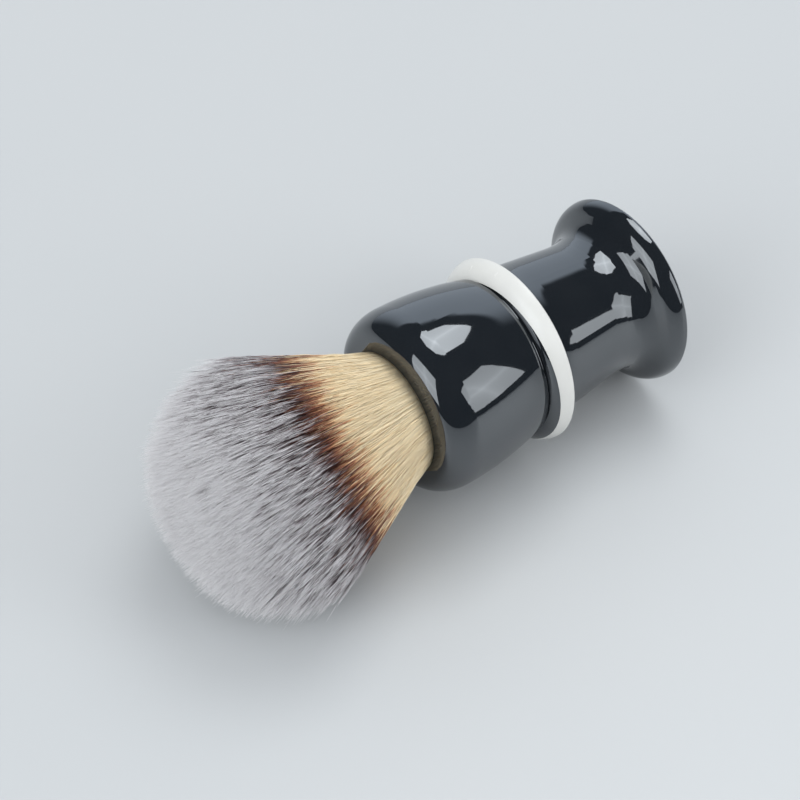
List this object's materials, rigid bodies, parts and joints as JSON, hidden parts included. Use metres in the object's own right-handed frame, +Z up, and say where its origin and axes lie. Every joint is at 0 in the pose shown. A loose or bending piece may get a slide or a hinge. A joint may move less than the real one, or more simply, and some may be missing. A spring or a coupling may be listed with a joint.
{
  "type": "shaving brush",
  "caption": "Shaving brush with a domed fan knot set in a turned two-part handle: waisted neck, flared round foot and a proud ring between the halves.",
  "frame": {"origin": "centre of the bounding box's underside: the flat surface that the brush lies on", "axes": "+X along the brush from the tips of the bristles towards the foot, level with the surface it lies on; +Z up; the brush's own axis falls 2 degrees towards the foot"},
  "size_m": [0.1078, 0.0472, 0.0454],
  "materials": {
    "black_resin": "polished",
    "white_resin": "polished",
    "bristle": "loose synthetic fibre",
    "potting_resin": "cast",
    "cord": "wound cord",
    "adhesive": "set adhesive",
    "steel": "machined",
    "brass": "machined"
  },
  "bodies": {
    "root": {"upper_handle": "black_resin", "accent_ring": "white_resin", "lower_handle": "black_resin", "bristle_knot": "bristle", "knot_plug": "potting_resin", "root_binding": "cord", "knot_glue_bed": "adhesive", "joining_stud": "steel", "upper_insert": "brass", "lower_insert": "brass"}
  },
  "joints": []
}
